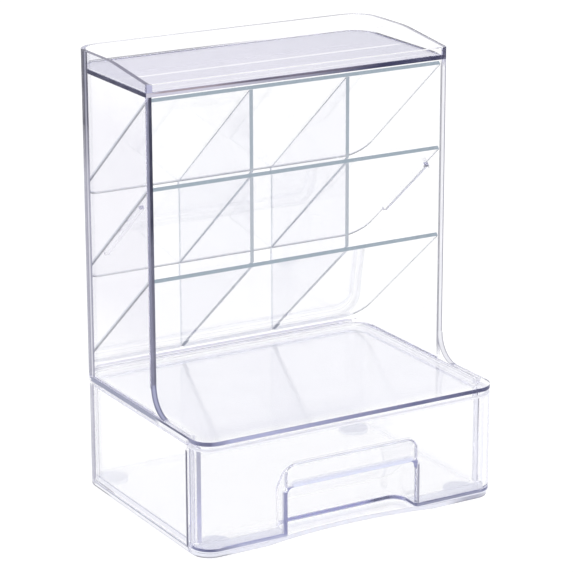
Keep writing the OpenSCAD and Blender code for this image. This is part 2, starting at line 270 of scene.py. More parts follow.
def make_marks_group():
    """What handling and moulding leave on polished plastic: Height is a slow flow ripple with fine
    hairline scratches in it, Haze is where the polish is a little worn, and Cloud is a slow change of
    tone from 0 to 1."""
    group, takes, gives = new_group(
        "moulding_marks", [("Place", "Vector", (0, 0, 0)), ("Wear", "Float", 1.0)],
        [("Height", "Float"), ("Haze", "Float"), ("Cloud", "Float")])
    ripple = group.nodes.new("ShaderNodeTexNoise")
    ripple.inputs["Scale"].default_value = RIPPLE_SCALE
    ripple.inputs["Detail"].default_value = 1.0
    group.links.new(takes.outputs["Place"], ripple.inputs["Vector"])
    cloud = group.nodes.new("ShaderNodeTexNoise")
    cloud.inputs["Scale"].default_value = CLOUD_SCALE
    cloud.inputs["Detail"].default_value = CLOUD_DETAIL
    group.links.new(takes.outputs["Place"], cloud.inputs["Vector"])
    stretch = group.nodes.new("ShaderNodeMapping")
    stretch.inputs["Rotation"].default_value = HAIR_TURN
    stretch.inputs["Scale"].default_value = HAIR_SCALES
    group.links.new(takes.outputs["Place"], stretch.inputs["Vector"])
    hair = group.nodes.new("ShaderNodeTexNoise")
    hair.inputs["Scale"].default_value = 1.0
    hair.inputs["Detail"].default_value = HAIR_DETAIL
    group.links.new(stretch.outputs["Vector"], hair.inputs["Vector"])
    scratch = ramp(group, hair.outputs[0], HAIR_FROM, HAIR_STEEPNESS)
    scratch = number_step(group, "MULTIPLY", scratch, takes.outputs["Wear"])
    height = number_step(group, "SUBTRACT", ripple.outputs[0],
                         number_step(group, "MULTIPLY", scratch, HAIR_DEPTH))
    group.links.new(height, gives.inputs["Height"])
    patch = ramp(group, cloud.outputs[0], WORN_FROM, WORN_STEEPNESS)
    haze = number_step(group, "ADD", number_step(group, "MULTIPLY", scratch, HAIR_HAZE),
                       number_step(group, "MULTIPLY", patch, WORN_HAZE))
    group.links.new(haze, gives.inputs["Haze"])
    group.links.new(cloud.outputs[0], gives.inputs["Cloud"])
    return group


zone_group = make_zone_group()
marks_group = make_marks_group()


def tone(red, green, blue):
    """A colour as a screen shows it, 0 to 255, as the light it stands for, by the sRGB curve."""
    shares = np.array([red, green, blue]) / 255.0
    light = np.where(shares <= 0.04045, shares / 12.92, ((shares + 0.055) / 1.055) ** 2.4)
    return (*(float(value) for value in light), 1.0)


def through_tone(red, green, blue):
    """The colour for one crossing: a surface lets through the square root of its colour."""
    return tuple(value * value for value in tone(red, green, blue))


def paint_over(tree, colour, share, paint):
    """The colour with another one laid over it by the share."""
    layer = tree.nodes.new("ShaderNodeMix")
    layer.data_type = "RGBA"
    feed(tree, layer.inputs["Factor"], share)
    feed(tree, layer.inputs["A"], colour)
    feed(tree, layer.inputs["B"], paint)
    return layer.outputs["Result"]


# A zone is a part of a piece's surface that takes a colour: its reach across, along and up and its
# softness on the three axes in millimetres, the colour, the way that its surface looks or None, and
# the colour's share of it.
Zone = namedtuple("Zone", "across along up soft colour way strength")

# The slow cloud of tone changes a zone's strength by this share
UNEVEN = 0.25


def zone_share(tree, place, cloud, zone):
    """How much of a zone's colour a point takes: the zone's soft box, a little uneven."""
    low, high = np.array([zone.across, zone.along, zone.up], float).T
    mask = tree.nodes.new("ShaderNodeGroup")
    mask.node_tree = zone_group
    mask.inputs["Centre"].default_value = tuple((low + high) / 2 * MM)
    mask.inputs["Half"].default_value = tuple((high - low) / 2 * MM)
    mask.inputs["Soft"].default_value = tuple(np.array(zone.soft, float) * MM)
    tree.links.new(place.outputs["Object"], mask.inputs["Place"])
    if zone.way is not None:
        tree.links.new(place.outputs["Normal"], mask.inputs["Normal"])
        mask.inputs["Axis"].default_value = zone.way
        mask.inputs["Facing"].default_value = 1.0
    uneven = number_step(tree, "ADD", number_step(tree, "MULTIPLY", cloud, UNEVEN * zone.strength),
                         (1.0 - UNEVEN / 2) * zone.strength)
    return number_step(tree, "MULTIPLY", mask.outputs["Mask"], uneven, True)


# A cut is what the saw left of a sheet: the sheet's normal, how far its upper face lies along that
# normal, the way its front edge looks, how far out that edge lies, the painted colours of the front
# edge, partly the sheet's own tint and partly painted shade, and of the lower half of the other
# edges, painted shade, and their share.
Cut = namedtuple("Cut", "normal upper ahead reach front side share")

# A sawn face is one whose cosine to the sheet's own face is under this
SAWN_UNDER = 0.8
SAWN_STEEPNESS = 5.0
# The front edge is found by its place, because a normal turns round when it is seen from inside
FRONT_DEPTH = 0.3
FRONT_STEEPNESS = 5000.0
# A sawn edge is painted pale down to this depth in the 2 mm sheet, and dark below it: painted light
# above and painted shade below
DARK_FROM = 0.75
DARK_STEEPNESS = 4000.0
SAWN_PALE = (226, 229, 236)


def sawn_edges(tree, place, cloud, glow, cut):
    """The sawn edges of a sheet, painted light above and painted shade below, as their share and as the
    painted edge colour with them in it.
    """
    flat = number_step(tree, "ABSOLUTE", vector_step(
        tree, "DOT_PRODUCT", place.outputs["Normal"], cut.normal))
    sawn = number_step(tree, "MULTIPLY", number_step(tree, "SUBTRACT", SAWN_UNDER, flat),
                       SAWN_STEEPNESS, True)
    sawn = number_step(tree, "MULTIPLY", sawn, number_step(
        tree, "ADD", number_step(tree, "MULTIPLY", cloud, UNEVEN), cut.share - UNEVEN / 2))
    front = ramp(tree, vector_step(tree, "DOT_PRODUCT", place.outputs["Object"], cut.ahead),
                 cut.reach - FRONT_DEPTH * MM, FRONT_STEEPNESS)
    sunk = number_step(tree, "SUBTRACT", cut.upper, vector_step(
        tree, "DOT_PRODUCT", place.outputs["Object"], cut.normal))
    lower_half = ramp(tree, sunk, DARK_FROM * MM, DARK_STEEPNESS)
    side = paint_over(tree, tone(*SAWN_PALE), lower_half, tone(*cut.side))
    side = paint_over(tree, side, front, tone(*cut.front))
    return sawn, paint_over(tree, glow, sawn, side)


CLEAR_IOR = 1.55
# Where the slow cloud of tone is full, the stock's colour is multiplied by this
BODY_VARIES = 0.9985
# The painted shade and reflection of the slant zones come in as the view slants, and the painted skyline
# shade shows in the last degrees of it
SLANT_GAIN = 1.9
GRAZING_FROM = 0.84
GRAZING_STEEPNESS = 6.0
# Light that has been mirrored more often than this between two faces takes the trapped colour, painted
# light in place of the dark that such long paths end in
CAUGHT_AFTER = 2.5
CAUGHT_STEEPNESS = 0.4
# The relief of the ripple and of the hairlines, its height in millimetres
RELIEF_SHARE = 0.25
RELIEF_HEIGHT = 0.4
# The skin of a painted edge, whose colour is painted light and shade, and the tint of the light that
# passes straight through the stock
EDGE_ROUGH = 0.3
EDGE_SHINE = 0.12
SHADOW_TINT = (0.97, 0.97, 0.98, 1.0)


def clear_plastic(name, depth_tint, density, painted_slant_shades, edges, rough=0.015, wear=1.0,
                  skyline=(172, 172, 194), grazed=0.5, trapped=(205, 205, 222), cut=None,
                  body=(255, 255, 255), dull=()):
    """A polished clear plastic. Light bends at the skin and takes the stock's colour through its
    depth. Painted slant shades are zones of painted shade and reflection that colour what is seen
    through the skin on a slant, edges are zones painted with an opaque colour that stands for their
    light and shade, and in dull zones the strength is added to the roughness. The skyline is the
    painted shade of a grazing view, grazed is its share, trapped is painted light for light caught
    between two faces, and a sheet has a cut with painted sawn edges. Shadows and the room's soft
    light pass straight through."""
    material = bpy.data.materials.new(name)
    material.use_nodes = True
    tree = material.node_tree
    tree.nodes.clear()
    place = tree.nodes.new("ShaderNodeTexCoord")
    marks = tree.nodes.new("ShaderNodeGroup")
    marks.node_tree = marks_group
    marks.inputs["Wear"].default_value = wear
    tree.links.new(place.outputs["Object"], marks.inputs["Place"])
    cloud = marks.outputs["Cloud"]

    varied = through_tone(*(value * BODY_VARIES for value in body))
    seen = paint_over(tree, through_tone(*body), cloud, varied)
    edge_on = tree.nodes.new("ShaderNodeLayerWeight")
    edge_on.inputs["Blend"].default_value = 0.5
    slanting = number_step(tree, "MULTIPLY", edge_on.outputs["Facing"], SLANT_GAIN, True)
    # Painted shade and reflection on what is seen through the skin on a slant
    for zone in painted_slant_shades:
        share = number_step(tree, "MULTIPLY", zone_share(tree, place, cloud, zone), slanting)
        seen = paint_over(tree, seen, share, through_tone(*zone.colour))

    # A grazing view takes the painted skyline shade, and light caught between two faces the painted
    # trapped light
    grazing = ramp(tree, edge_on.outputs["Facing"], GRAZING_FROM, GRAZING_STEEPNESS)
    path = tree.nodes.new("ShaderNodeLightPath")
    caught = ramp(tree, path.outputs["Glossy Depth"], CAUGHT_AFTER, CAUGHT_STEEPNESS)
    glow = paint_over(tree, tone(*skyline), caught, tone(*trapped))
    shown = number_step(tree, "MAXIMUM", number_step(tree, "MULTIPLY", grazing, grazed), caught)
    if cut is not None:
        sawn, glow = sawn_edges(tree, place, cloud, glow, cut)
        shown = number_step(tree, "MAXIMUM", shown, sawn)
    # The edge zones: painted light and shade laid over the edges as an opaque colour
    for zone in edges:
        share = zone_share(tree, place, cloud, zone)
        glow = paint_over(tree, glow, share, tone(*zone.colour))
        shown = number_step(tree, "MAXIMUM", shown, share)

    bump = tree.nodes.new("ShaderNodeBump")
    bump.inputs["Strength"].default_value = RELIEF_SHARE
    bump.inputs["Distance"].default_value = RELIEF_HEIGHT * MM
    tree.links.new(marks.outputs["Height"], bump.inputs["Height"])
    skin = tree.nodes.new("ShaderNodeBsdfPrincipled")
    tree.links.new(seen, skin.inputs["Base Color"])
    haze = number_step(tree, "ADD", marks.outputs["Haze"], rough)
    for zone in dull:
        haze = number_step(tree, "ADD", haze, zone_share(tree, place, cloud, zone))
    tree.links.new(haze, skin.inputs["Roughness"])
    tree.links.new(bump.outputs["Normal"], skin.inputs["Normal"])
    skin.inputs["IOR"].default_value = CLEAR_IOR
    skin.inputs["Transmission Weight"].default_value = 1.0
    edge = tree.nodes.new("ShaderNodeBsdfPrincipled")
    tree.links.new(glow, edge.inputs["Base Color"])
    tree.links.new(number_step(tree, "ADD", marks.outputs["Haze"], EDGE_ROUGH), edge.inputs["Roughness"])
    edge.inputs["Specular IOR Level"].default_value = EDGE_SHINE
    both = tree.nodes.new("ShaderNodeMixShader")
    tree.links.new(shown, both.inputs[0])
    tree.links.new(skin.outputs[0], both.inputs[1])
    tree.links.new(edge.outputs[0], both.inputs[2])
    clear = tree.nodes.new("ShaderNodeBsdfTransparent")
    clear.inputs["Color"].default_value = SHADOW_TINT
    lets_by = number_step(tree, "MAXIMUM", path.outputs["Is Shadow Ray"],
                          path.outputs["Is Diffuse Ray"])
    mix = tree.nodes.new("ShaderNodeMixShader")
    tree.links.new(lets_by, mix.inputs[0])
    tree.links.new(both.outputs[0], mix.inputs[1])
    tree.links.new(clear.outputs[0], mix.inputs[2])
    depth = tree.nodes.new("ShaderNodeVolumeAbsorption")
    depth.inputs["Color"].default_value = (*depth_tint, 1.0)
    depth.inputs["Density"].default_value = density
    out = tree.nodes.new("ShaderNodeOutputMaterial")
    tree.links.new(mix.outputs[0], out.inputs["Surface"])
    tree.links.new(depth.outputs[0], out.inputs["Volume"])
    return material


def finish_node(name, material):
    """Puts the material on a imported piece, in place of its own."""
    mesh = nodes[name].data
    mesh.materials.clear()
    mesh.materials.append(material)


def past(low, high, reach):
    """A reach that goes past both its ends by the same amount, or stops short of them by it where
    the amount is negative."""
    return low - reach, high + reach


def near(place, low, high):
    """A reach near a place, both its ends measured from there."""
    return place + low, place + high


# The ways a surface can look, and the reaches that its zones share
FRONT, LEFT, UP = (0.0, -1.0, 0.0), (-1.0, 0.0, 0.0), (0.0, 0.0, 1.0)
CURVED = (0.0, -0.85, 0.53)
LEFT_SKIN = past(-SIDE, -SIDE, 0.4)
LEFT_FACE = past(-SIDE, -SIDE, 1.0)
LEFT_TURN = near(-SIDE, -1.0, 1.5)
LEFT_WALL = past(-SIDE, -SIDE + WALL, 0.5)
LEFT_BAND = past(-SIDE, -SIDE + WALL, 1.0)
RIGHT_WALL = past(SIDE - WALL, SIDE, 0.5)
RIGHT_BAND = past(SIDE - WALL, SIDE, 1.0)
RACK_ACROSS = past(-SIDE, SIDE, 0.5)
ALL_ACROSS = past(-SIDE, SIDE, 1.0)
BETWEEN_CORNERS = past(-SIDE, SIDE, -7.0)
FRONT_EDGE = past(RACK_FRONT, RACK_FRONT, 0.5)
LEFT_ALONG = (RACK_FRONT + 0.5, BACK - 15.0)
RIM_ALONG = (RACK_FRONT + 0.5, BACK - 9.0)
TRAY_ALONG = (RACK_FRONT + 2.5, BACK - WALL)
RIGHT_EDGE_UP = (DECK + 4.4, TRAY - 2.6)
HIGH_UP = (TRAY - 41.6, TOP + 50.0)
TRAY_SKIN = past(TRAY, TRAY, 0.2)
SLAB_FACE = (TRAY - SLAB, TRAY)
LIP_FACE = (TRAY, LIP + 0.6)
SIDE_RIM = (LIP - 0.7, TOP + 1.0)
BACK_RIM = past(TOP, TOP, 1.0)
BACK_RIM_TOP = near(BACK, -2.6, 0.5)
DECK_SKIN = past(DECK, DECK, 0.4)
DECK_FACE = (DECK - SLAB + 0.1, DECK - 0.2)
DECK_NOSE = near(NOSE, -1.0, 11.5)
FLARE_ALONG = near(RACK_FRONT, -FLARE - 0.5, 0.2)
FLARE_UP = near(DECK, 0.2, FLARE + 0.4)
SKIRT_END = past(WALL_FRONT, WALL_FRONT, 0.6)
UNDER_DECK = near(DECK, -11.6, -2.1)

rack_painted_slant_shades = [
    # The left wall, painted a little lavender where it is seen across the rack: painted shade
    Zone(LEFT_SKIN, LEFT_ALONG, (DECK + 28.4, TRAY - 2.6), (0.2, 3, 46), (238, 237, 243), LEFT, 1.0),
    Zone(LEFT_SKIN, LEFT_ALONG, (TRAY + 0.2, TOP + 2.0), (0.2, 3, 0.4), (234, 234, 240), LEFT, 1.0),
    # The deck's top, painted a breath greyer than the table seen through it: painted shade
    Zone(past(-SIDE, SIDE, -5.0), (NOSE + 5.0, BACK - 13.0), near(DECK, -0.4, 0.4), (6, 6, 0.3),
         (245, 245, 250), UP, 1.0),
    # The tray's floor, painted with shade that greys what is seen through it, and with two paler lines
    # across that are painted reflections
    Zone(past(-SIDE, SIDE, -3.0), TRAY_ALONG, TRAY_SKIN, (2, 2, 0.2), (211, 209, 226), UP, 1.0),
    Zone((30, SIDE + 35.0), TRAY_ALONG, TRAY_SKIN, (70, 2, 0.2), (203, 202, 219), UP, 1.0),
    Zone(BETWEEN_CORNERS, near(RACK_FRONT, 32.7, 34.7), TRAY_SKIN, (16, 1.2, 0.2),
         (248, 247, 253), UP, 1.0),
    Zone(BETWEEN_CORNERS, near(RACK_FRONT, 6.5, 8.1), TRAY_SKIN, (16, 1.2, 0.2),
         (236, 235, 244), UP, 0.7),
]
rack_edges = [
    # The left wall's front edge, painted lavender outside, navy inside and paler lower down: painted
    # shade and reflection
    Zone(LEFT_WALL, FRONT_EDGE, (DECK + 12.4, TRAY - 2.6), (0.3, 0.6, 4), (126, 126, 147), FRONT, 0.92),
    Zone(near(-SIDE, 1.3, 3.5), FRONT_EDGE, (DECK + 66.4, TOP + 30.0), (0.4, 0.6, 60),
         (52, 53, 73), FRONT, 0.97),
    Zone(near(-SIDE, 1.8, 3.5), FRONT_EDGE, near(DECK, 4.4, 78.4), (0.4, 0.6, 30),
         (98, 98, 114), FRONT, 0.8),
    # The right wall's front edge, painted pale between two thin grey lines: painted light and shade
    Zone(RIGHT_WALL, near(RACK_FRONT, -0.5, 0.9), RIGHT_EDGE_UP, (0.3, 0.3, 8),
         (250, 250, 253), None, 0.92),
    Zone(near(SIDE, -3.3, -2.6), near(RACK_FRONT, -0.5, 1.1), RIGHT_EDGE_UP, (0.2, 0.3, 8),
         (158, 158, 166), None, 0.9),
    Zone(near(SIDE, -1.0, 0.2), near(RACK_FRONT, -0.5, 1.5), RIGHT_EDGE_UP, (0.2, 0.3, 8),
         (134, 134, 150), None, 0.92),
    # The front end of the rib on the right wall, painted as a dark mark: painted shade
    Zone(near(SIDE, -5.6, -3.0), near(RACK_FRONT, 10.0, 11.7), near(TRAY, -60.5, -59.0),
         (0.3, 0.5, 0.5), (56, 56, 64), None, 0.85),
    # The tray's slab, painted: its front pale, navy at the right and with a thin brownish line at the
    # left end, and its side navy, the navy and pale being painted shade and reflection
    Zone(RACK_ACROSS, FRONT_EDGE, SLAB_FACE, (0.3, 0.6, 0.2), (206, 203, 218), FRONT, 0.92),
    Zone((-10, SIDE + 15.0), FRONT_EDGE, SLAB_FACE, (80, 0.6, 0.2), (72, 74, 102), FRONT, 0.95),
    Zone((-SIDE + 5.0, SIDE + 5.0), FRONT_EDGE, near(TRAY, -0.8, 0.1), (8, 0.6, 0.3),
         (150, 132, 136), FRONT, 0.85),
    Zone((-42, SIDE + 5.0), FRONT_EDGE, near(TRAY, -0.9, 0.1), (30, 0.6, 0.3),
         (88, 84, 104), FRONT, 0.9),
    Zone((36, SIDE + 5.0), FRONT_EDGE, near(TRAY, -2.2, 0.1), (24, 0.6, 0.2),
         (54, 55, 86), FRONT, 0.95),
    Zone(LEFT_FACE, (RACK_FRONT + 0.2, BACK - 11.0), near(TRAY, -2.1, 0.1), (0.4, 0.6, 0.2),
         (40, 40, 72), LEFT, 0.97),
    # The rim, painted: the left side's top dark, the right side's pale, the back's pale to grey, and the
    # two ends at the front: painted shade and reflection
    Zone(LEFT_BAND, RIM_ALONG, SIDE_RIM, (0.6, 2, 0.4), (122, 119, 140), UP, 0.92),
    Zone(RIGHT_BAND, RIM_ALONG, SIDE_RIM, (0.6, 2, 0.4), (206, 205, 213), UP, 0.8),
    Zone(near(SIDE, -1.0, 1.0), (RACK_FRONT + 0.5, BACK - 19.0), SIDE_RIM, (0.3, 2, 0.4),
         (128, 127, 138), UP, 0.9),
    Zone((-SIDE + 7.0, SIDE + 5.0), BACK_RIM_TOP, BACK_RIM, (6, 0.4, 0.4), (242, 242, 246), UP, 0.85),
    Zone((0, SIDE + 55.0), BACK_RIM_TOP, BACK_RIM, (110, 0.4, 0.4), (176, 175, 184), UP, 0.8),
    Zone(LEFT_WALL, FRONT_EDGE, LIP_FACE, (0.3, 0.6, 0.2), (184, 184, 212), FRONT, 0.95),
    Zone(near(-SIDE, -0.5, 0.5), FRONT_EDGE, LIP_FACE, (0.2, 0.6, 0.2), (70, 70, 96), FRONT, 0.9),
    Zone(near(SIDE, -2.6, 0.5), FRONT_EDGE, LIP_FACE, (0.3, 0.6, 0.2), (62, 62, 88), FRONT, 0.92),
    # Thin dark lines of painted shade where the tray's floor meets the back and the right side of the
    # rim
    Zone((-SIDE - 25.0, 10), near(BACK, -3.4, -2.0), near(TRAY, 0.1, 0.7), (50, 0.3, 0.2),
         (108, 108, 114), None, 0.75),
    Zone(near(SIDE, -3.2, -1.6), (RACK_FRONT + 6.5, BACK - 15.0), near(TRAY, 0.06, 0.46), (0.3, 6, 0.1),
         (52, 50, 68), None, 0.97),
    # The rear left corner, painted in shade because it turns away from the light: grey all the way up,
    # with two dark lines high up and a pale one lower down, all painted shade and light
    Zone(LEFT_TURN, near(BACK, -17.8, -8.0), (DECK + 0.4, TOP + 1.0), (0.4, 0.5, 3),
         (146, 146, 164), None, 0.9),
    Zone(LEFT_FACE, near(BACK, -15.8, -14.4), (0.0, TRAY - 45.6), (0.4, 0.4, 60),
         (226, 225, 234), None, 0.9),
    Zone(LEFT_TURN, near(BACK, -14.2, -8.0), HIGH_UP, (0.4, 0.4, 26), (58, 57, 78), None, 0.97),
    Zone(LEFT_FACE, near(BACK, -17.8, -16.0), HIGH_UP, (0.4, 0.4, 26), (70, 69, 88), None, 0.96),
    # The deck: its left side with the skirt, and its front, painted lavender to navy with a pale band:
    # painted shade and reflection
    Zone(LEFT_FACE, (WALL_FRONT - 4.0, BACK - 13.0), near(DECK, -2.6, -0.2), (0.4, 2, 0.1),
         (146, 149, 172), LEFT, 0.94),
    Zone(LEFT_FACE, (WALL_FRONT - 4.0, RACK_FRONT - 5.5), near(DECK, -3.4, -1.3), (0.4, 6, 0.3),
         (250, 250, 254), LEFT, 0.9),
    Zone(LEFT_FACE, (NOSE + 3.0, RACK_FRONT - 7.5), near(DECK, -1.2, -0.2), (0.4, 8, 0.1),
         (66, 67, 98), LEFT, 0.92),
    Zone(ALL_ACROSS, DECK_NOSE, DECK_FACE, (0.4, 2, 0.1), (172, 174, 209), None, 0.92),
    Zone(near(-SIDE, -1.0, 14.0), (NOSE, WALL_FRONT - 2.0), DECK_FACE, (6, 2, 0.1),
         (84, 86, 116), None, 0.9),
    Zone((-5, SIDE + 5.0), DECK_NOSE, DECK_FACE, (90, 2, 0.1), (98, 101, 136), None, 0.94),
    Zone((SIDE - 25.0, SIDE + 5.0), DECK_NOSE, DECK_FACE, (24, 2, 0.1), (62, 64, 98), None, 0.94),
    # The flare at the foot of the left wall's front edge, painted lavender with a paler line: painted
    # shade
    Zone(LEFT_BAND, FLARE_ALONG, FLARE_UP, (0.5, 0.6, 0.4), (108, 110, 140), CURVED, 0.9),
    Zone(near(-SIDE, 0.8, 2.2), FLARE_ALONG, FLARE_UP, (0.5, 0.6, 0.4), (176, 178, 208), CURVED, 0.8),
    # The fillets between the deck and the walls, painted lavender along the back and pale along the
    # left:
    # painted shade and light
    Zone(BETWEEN_CORNERS, near(BACK, -4.6, -2.8), near(DECK, 0.4, 1.3), (4, 0.4, 0.3),
         (224, 223, 240), None, 0.6),
    Zone(past(-SIDE, SIDE, -5.0), near(BACK, -3.6, -2.7), near(DECK, 1.0, 1.5), (2, 0.3, 0.2),
         (212, 210, 232), None, 0.85),
    Zone(near(-SIDE, 2.6, 4.6), LEFT_ALONG, near(DECK, 0.1, 1.4), (0.3, 1, 0.2),
         (252, 252, 255), None, 0.85),
    # The front ends of the skirt and of the locating lip, under the deck, painted pale: painted light
    Zone(near(-SIDE, -0.2, 6.0), SKIRT_END, UNDER_DECK, (0.3, 0.3, 0.3), (248, 248, 253), FRONT, 0.75),
    Zone(near(SIDE, -6.0, 0.2), SKIRT_END, UNDER_DECK, (0.3, 0.3, 0.3), (248, 248, 253), FRONT, 0.75),
    # The flare at the foot of the right wall's front edge, painted pale between two thin grey lines:
    # painted light and shade
    Zone(RIGHT_BAND, FLARE_ALONG, FLARE_UP, (0.3, 0.6, 0.4), (249, 249, 252), CURVED, 0.9),
    Zone(near(SIDE, -3.4, -2.7), FLARE_ALONG, FLARE_UP, (0.2, 0.6, 0.4), (150, 150, 162), CURVED, 0.9),
    Zone(near(SIDE, -0.6, 0.4), FLARE_ALONG, FLARE_UP, (0.2, 0.6, 0.4), (160, 160, 172), CURVED, 0.8),
]
# The deck's top is a little dull from use
rack_dull = [Zone(past(-SIDE, SIDE, -1.0), (NOSE + 1.0, BACK - 3.0), DECK_SKIN, (1, 1, 0.3), None, UP,
                  0.1)]
CASE_DEPTH = (0.0, 0.0, 0.5)
RACK_DENSITY = 1.5
rack_clear = clear_plastic("rack_clear", CASE_DEPTH, RACK_DENSITY, rack_painted_slant_shades, rack_edges,
                           dull=rack_dull)
finish_node("rack_shell", rack_clear)


# The lower moulding: the drawer's housing
# The same clear stock, moulded as a box that is open on top and in front. The rack stands on its
# walls, held by the lip under the deck. Its floor's front edge is painted nearly white, painted light,
# and its other edges carry painted shade and light.
BASE_UNDER = 2.0
BASE_FLOOR = BASE_UNDER + 2.2
BASE_DENSITY = 1.2
# The reaches that its zones share
BASE_NOSE = near(NOSE, -1.0, 13.0)
BASE_LEFT = (WALL_FRONT, BACK - 13.0)
BASE_EDGE = (BASE_UNDER + 0.1, BASE_FLOOR - 0.1)
BASE_WALLS = (BASE_FLOOR, DECK - 7.6)
BASE_CORNER = (BASE_FLOOR - 0.2, DECK - 4.6)
WALL_END = near(WALL_FRONT, -0.6, 0.5)
LOWER_EDGE = near(BASE_UNDER, -0.1, 0.6)
base_edges = [
    # The floor's front edge, painted nearly white and greyer over the front right foot: painted light
    # and shade
    Zone(ALL_ACROSS, BASE_NOSE, BASE_EDGE, (0.4, 4, 0.1), (246, 247, 255), None, 0.8),
    Zone(near(SIDE, -23.0, -5.0), BASE_NOSE, BASE_EDGE, (12, 4, 0.1), (150, 151, 172), None, 0.75),
    # The floor's left side, painted pale between two thin grey lines: painted light and shade
    Zone(LEFT_FACE, BASE_LEFT, (BASE_UNDER - 0.1, BASE_FLOOR), (0.4, 2, 0.1),
         (250, 250, 253), LEFT, 0.9),
    Zone(LEFT_FACE, BASE_LEFT, near(BASE_FLOOR, -0.3, 0.2), (0.4, 2, 0.1), (150, 151, 166), LEFT, 0.8),
    Zone(LEFT_FACE, BASE_LEFT, near(BASE_UNDER, -0.1, 0.3), (0.4, 2, 0.1), (170, 170, 184), LEFT, 0.8),
    # The floor's lower edge, painted darker over three of the feet: painted shade
    Zone(near(-SIDE, -1.0, 5.0), near(BACK, -31.0, -3.0), LOWER_EDGE, (0.4, 6, 0.2),
         (126, 126, 132), None, 0.85),
    Zone(near(-SIDE, -1.0, 16.0), (NOSE - 1.0, WALL_FRONT - 6.0), LOWER_EDGE, (4, 4, 0.2),
         (132, 132, 138), None, 0.8),
    Zone((SIDE - 25.0, SIDE + 1.0), (NOSE - 1.0, WALL_FRONT - 2.0), near(BASE_UNDER, -0.1, 0.5),
         (6, 4, 0.2), (124, 124, 134), None, 0.7),
    # The side walls' front edges, painted navy and pale on the left and pale grey on the right: painted
    # shade and light
    Zone(near(-SIDE, -1.0, 0.8), near(WALL_FRONT, -0.6, 1.5), BASE_WALLS, (0.2, 0.6, 1),
         (76, 77, 102), None, 0.93),
    Zone(near(-SIDE, 0.8, 4.0), WALL_END, BASE_WALLS, (0.2, 0.6, 1), (252, 252, 255), None, 0.8),
    Zone(RIGHT_BAND, WALL_END, BASE_WALLS, (0.3, 0.6, 1), (230, 230, 240), None, 0.88),
    # The rear left corner, painted grey with a pale line: painted shade and light
    Zone(LEFT_TURN, near(BACK, -14.8, -8.0), BASE_CORNER, (0.4, 0.5, 3), (170, 169, 185), None, 0.85),
    Zone(LEFT_FACE, near(BACK, -18.8, -17.8), BASE_CORNER, (0.4, 0.3, 3), (240, 240, 246), None, 0.8),
]
base_clear = clear_plastic("base_clear", CASE_DEPTH, BASE_DENSITY, [], base_edges,
                           skyline=(200, 200, 214), trapped=(238, 238, 246))
finish_node("base_housing", base_clear)


# The drawer
# The same clear stock again, with the finger pull's hood moulded in behind its front. The cut
# edges of the finger opening and the floor's front edge are painted lavender and navy: painted shade
# and reflection.
DRAWER_UNDER = BASE_FLOOR + 0.6
DRAWER_FLOOR = DRAWER_UNDER + 2.2
PULL_HALF = 37.0
# The reaches that its zones share
DRAWER_NOSE = near(NOSE, -1.0, 11.0)
FLOOR_EDGE = near(DRAWER_FLOOR, -1.5, -0.1)
DRAWER_FACE = near(NOSE, -1.0, 1.6)
FACE_EDGE = near(DRAWER_FLOOR, -0.2, 0.3)
DRAWER_SIDE = near(-SIDE, 1.0, 6.0)
OPENING = near(NOSE, -1.0, 2.6)
HOOD_FRONT = near(NOSE, 2.6, 3.6)
HOOD_SIDE_UP = near(DRAWER_FLOOR, 24.0, 31.0)
LEFT_CORNER = near(-PULL_HALF, -0.6, 3.0)
RIGHT_CORNER = near(PULL_HALF, -3.0, 0.6)
CORNERS_UP = near(DRAWER_FLOOR, 19.0, 23.6)
PULL_FLOOR = (near(WALL_FRONT, -4.0, 6.0), (DRAWER_UNDER + 0.4, DRAWER_FLOOR - 0.2))
WEB_ALONG = near(WALL_FRONT, -4.0, -0.2)
WEB_UP = (DRAWER_FLOOR, DECK - 7.6)
LEFT_WEB = near(-SIDE, 3.0, 7.0)
RIGHT_WEB_LINE = near(SIDE, -4.5, -3.9)
DRAWER_LEFT = (WALL_FRONT, BACK - 13.0)
drawer_painted_slant_shades = [
    # The wrapped front's right corner, painted a pale lavender on a slant: painted shade
    Zone(near(SIDE, -5.0, 1.0), DRAWER_NOSE, (DRAWER_FLOOR + 1.0, DECK - 4.6), (4, 3, 2),
         (236, 236, 248), None, 0.7),
]
